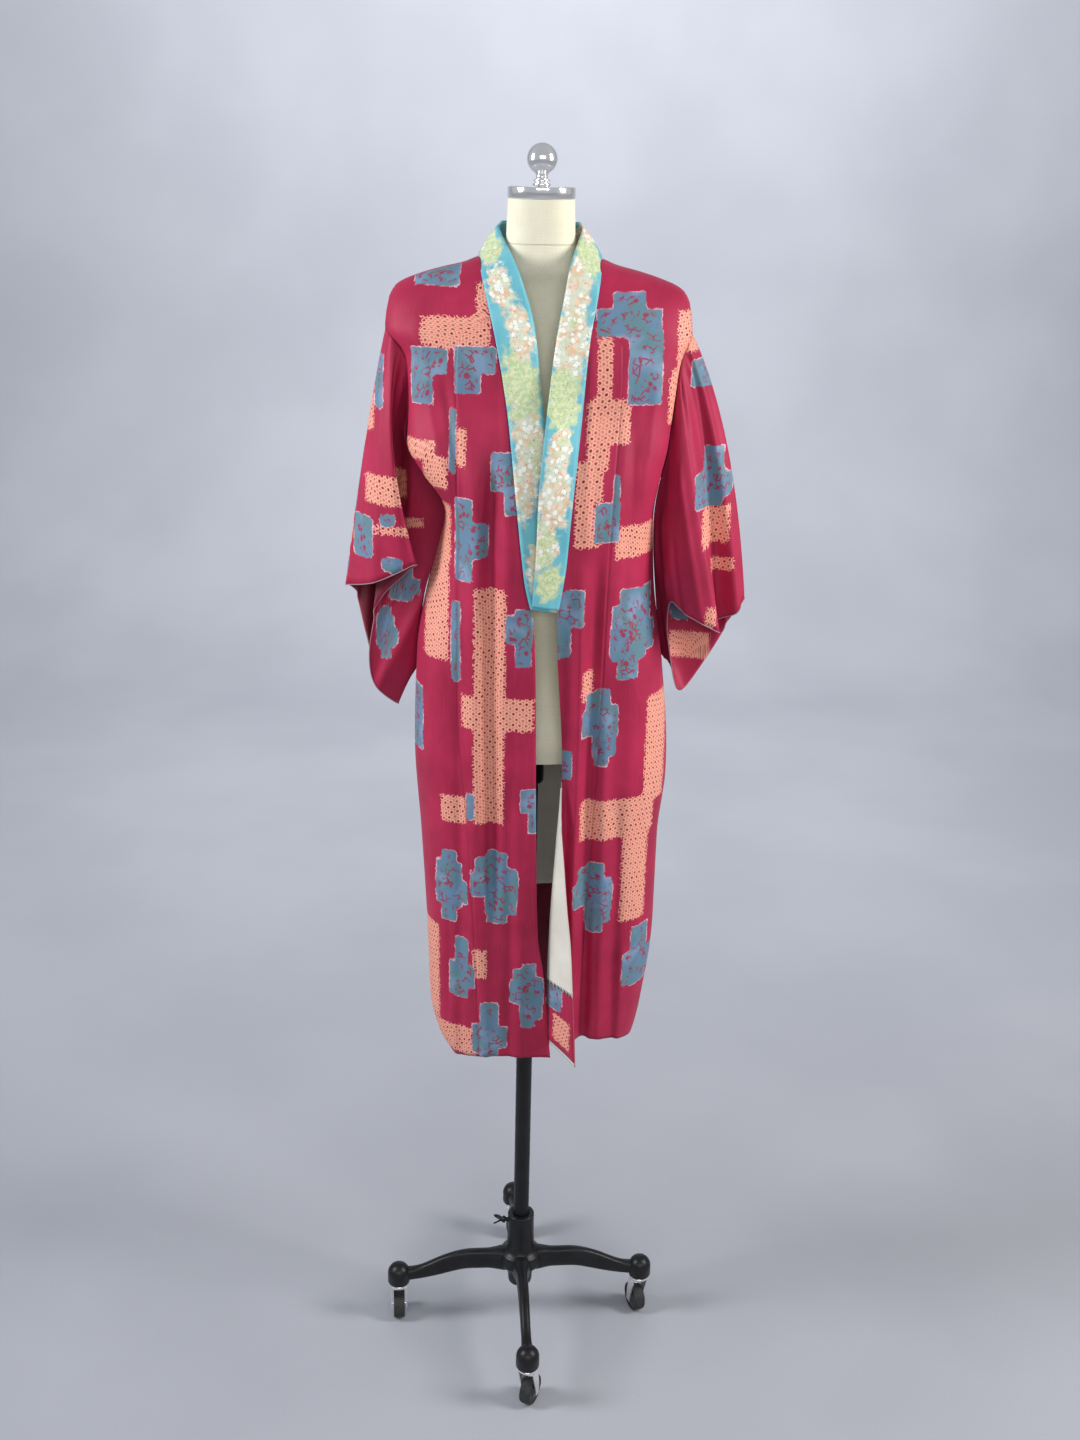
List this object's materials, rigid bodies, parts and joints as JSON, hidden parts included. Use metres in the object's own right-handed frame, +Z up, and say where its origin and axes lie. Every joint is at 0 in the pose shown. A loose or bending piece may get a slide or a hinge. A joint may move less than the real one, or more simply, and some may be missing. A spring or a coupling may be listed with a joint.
{
  "type": "silk kimono on a dress form stand",
  "caption": "Figured silk kimono with folded sleeves and a contrasting collar band, worn open on a limbless linen dress form with a black pole, cast legs and swivel casters.",
  "frame": {"origin": "on the floor under the middle of the bounding box, which is 18 mm to the wearer's left of the pole's axis", "axes": "+Z up, -Y towards the front that the wearer faces, +X towards the wearer's left"},
  "size_m": [0.582, 0.4598, 1.9558],
  "materials": {
    "silk": "figured crepe silk, soft sheen",
    "collar_silk": "printed crepe silk",
    "lining": "plain pale silk",
    "linen": "stretched linen",
    "chrome": "polished",
    "black_iron": "satin black enamel",
    "tyre": "moulded"
  },
  "bodies": {
    "base": {"hub": "black_iron", "leg_left": "black_iron", "leg_rear": "black_iron", "leg_right": "black_iron", "leg_front": "black_iron", "cup_left": "black_iron", "cup_rear": "black_iron", "cup_right": "black_iron", "cup_front": "black_iron"},
    "thumbscrew": {"thumbscrew": "black_iron"},
    "pole": {"pole": "black_iron"},
    "form": {"form_torso": "linen", "neck_cap": "chrome", "finial": "chrome", "pole_socket": "black_iron", "body_right": "silk", "body_left": "silk", "overlap_right": "silk", "overlap_left": "silk", "sleeve_right": "silk", "sleeve_left": "silk", "collar": "collar_silk", "facing_back": "silk", "lining_back": "lining", "facing_flap": "silk", "lining_flap": "lining"},
    "swivel_left": {"fork_left": "chrome"},
    "wheel_left": {"wheel_left": "tyre"},
    "swivel_rear": {"fork_rear": "chrome"},
    "wheel_rear": {"wheel_rear": "tyre"},
    "swivel_right": {"fork_right": "chrome"},
    "wheel_right": {"wheel_right": "tyre"},
    "swivel_front": {"fork_front": "chrome"},
    "wheel_front": {"wheel_front": "tyre"}
  },
  "joints": [
    {"name": "thumbscrew_turn", "type": "hinge", "parent": "base", "child": "thumbscrew", "pos_m": [-0.018, 0, 0.206], "axis": [1, 0, 0], "range_deg": [-180, 180]},
    {"name": "pole_slide", "type": "slide", "parent": "base", "child": "pole", "axis": [0, 0, 1], "range_m": [-0.07, 0.085]},
    {"name": "form_turn", "type": "hinge", "parent": "pole", "child": "form", "pos_m": [-0.018, 0, 1.05], "axis": [0, 0, 1], "continuous": true},
    {"name": "swivel_left", "type": "hinge", "parent": "base", "child": "swivel_left", "pos_m": [0.19273, 0.01677, 0.08], "axis": [0, 0, 1], "continuous": true},
    {"name": "roll_left", "type": "hinge", "parent": "swivel_left", "child": "wheel_left", "pos_m": [0.18786, 0.02882, 0.02498], "axis": [-0.9272, -0.3746, 0], "continuous": true},
    {"name": "swivel_rear", "type": "hinge", "parent": "base", "child": "swivel_rear", "pos_m": [-0.03477, 0.21073, 0.08], "axis": [0, 0, 1], "continuous": true},
    {"name": "roll_rear", "type": "hinge", "parent": "swivel_rear", "child": "wheel_rear", "pos_m": [-0.0219, 0.21254, 0.02498], "axis": [-0.1392, 0.9903, 0], "continuous": true},
    {"name": "swivel_right", "type": "hinge", "parent": "base", "child": "swivel_right", "pos_m": [-0.22873, -0.01677, 0.08], "axis": [0, 0, 1], "continuous": true},
    {"name": "roll_right", "type": "hinge", "parent": "swivel_right", "child": "wheel_right", "pos_m": [-0.23009, -0.00384, 0.02498], "axis": [-0.9945, -0.1045, 0], "continuous": true},
    {"name": "swivel_front", "type": "hinge", "parent": "base", "child": "swivel_front", "pos_m": [-0.00123, -0.21073, 0.08], "axis": [0, 0, 1], "continuous": true},
    {"name": "roll_front", "type": "hinge", "parent": "swivel_front", "child": "wheel_front", "pos_m": [0.00406, -0.19886, 0.02498], "axis": [-0.9135, 0.4067, 0], "continuous": true}
  ]
}
